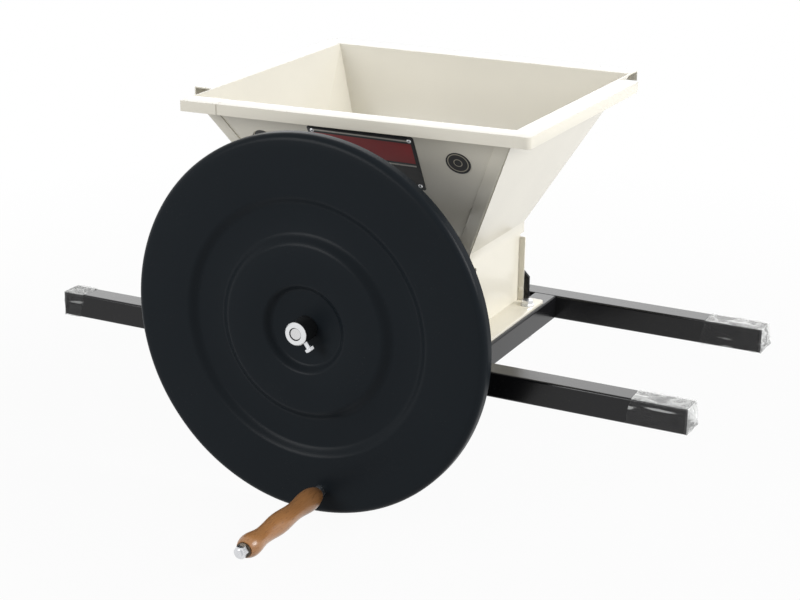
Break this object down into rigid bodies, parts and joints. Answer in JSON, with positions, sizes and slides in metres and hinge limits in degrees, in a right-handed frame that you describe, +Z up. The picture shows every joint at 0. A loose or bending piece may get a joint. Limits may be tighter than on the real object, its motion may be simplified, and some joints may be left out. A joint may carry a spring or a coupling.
{
  "type": "apple scratter",
  "caption": "Hand cranked fruit mill: square hopper over a bladed drum on two carrying rails, turned by a flywheel with a wooden grip.",
  "frame": {"origin": "midway between the undersides of the two rails, below the shaft", "axes": "+X along the rails, -Y towards the flywheel and the user, +Z up"},
  "size_m": [0.82, 0.6543, 0.448],
  "materials": {
    "black_enamel": "gloss black enamel on steel",
    "wheel_paint": "satin black paint on pressed sheet steel",
    "cream_enamel": "gloss cream enamel on folded sheet steel",
    "bearing_iron": "black painted grey iron",
    "shaft_steel": "turned bright steel",
    "blade_steel": "cut stainless sheet, brushed",
    "zinc_plate": "bright zinc plated steel",
    "label_print": "satin black printed plate, left plain",
    "beech": "turned beech under clear varnish",
    "plug_plastic": "moulded black plastic"
  },
  "bodies": {
    "frame": {"front_rail": "black_enamel", "rear_rail": "black_enamel", "left_crossbar": "black_enamel", "right_crossbar": "black_enamel", "rail_end_plugs": "plug_plastic", "base_plate": "cream_enamel", "base_bolts": "zinc_plate", "base_washers": "zinc_plate", "base_nuts": "zinc_plate", "left_side_plate": "cream_enamel", "right_side_plate": "cream_enamel", "front_bearing_plate": "black_enamel", "rear_bearing_plate": "black_enamel", "chamber_rivets": "zinc_plate", "front_bearing": "bearing_iron", "rear_bearing": "bearing_iron", "bearing_bolts": "zinc_plate", "left_comb": "blade_steel", "right_comb": "blade_steel", "hopper_front_wall": "cream_enamel", "hopper_rear_wall": "cream_enamel", "hopper_left_wall": "cream_enamel", "hopper_right_wall": "cream_enamel", "hopper_screws": "zinc_plate", "hopper_corner_straps": "cream_enamel", "label_plate": "label_print", "label_rivets": "zinc_plate", "left_badge": "label_print", "right_badge": "label_print"},
    "flywheel": {"main_shaft": "shaft_steel", "front_collar": "shaft_steel", "rear_collar": "shaft_steel", "collar_screws": "zinc_plate", "drum_shell": "blade_steel", "front_drum_disc": "blade_steel", "rear_drum_disc": "blade_steel", "drum_pins": "shaft_steel", "scratter_blades": "blade_steel", "blade_screws": "zinc_plate", "flywheel_disc": "wheel_paint", "flywheel_hub": "shaft_steel", "hub_set_screw": "zinc_plate", "handle_stud": "zinc_plate", "handle_lock_nuts": "zinc_plate", "handle_washer": "zinc_plate", "handle_end_nut": "zinc_plate"},
    "grip": {"handle_grip": "beech"}
  },
  "joints": [
    {"name": "wheel_spin", "type": "hinge", "parent": "frame", "child": "flywheel", "pos_m": [0, 0, 0.0835], "axis": [0, 1, 0], "continuous": true},
    {"name": "grip_spin", "type": "hinge", "parent": "flywheel", "child": "grip", "pos_m": [0.02017, 0, -0.10844], "axis": [0, 1, 0], "continuous": true}
  ]
}
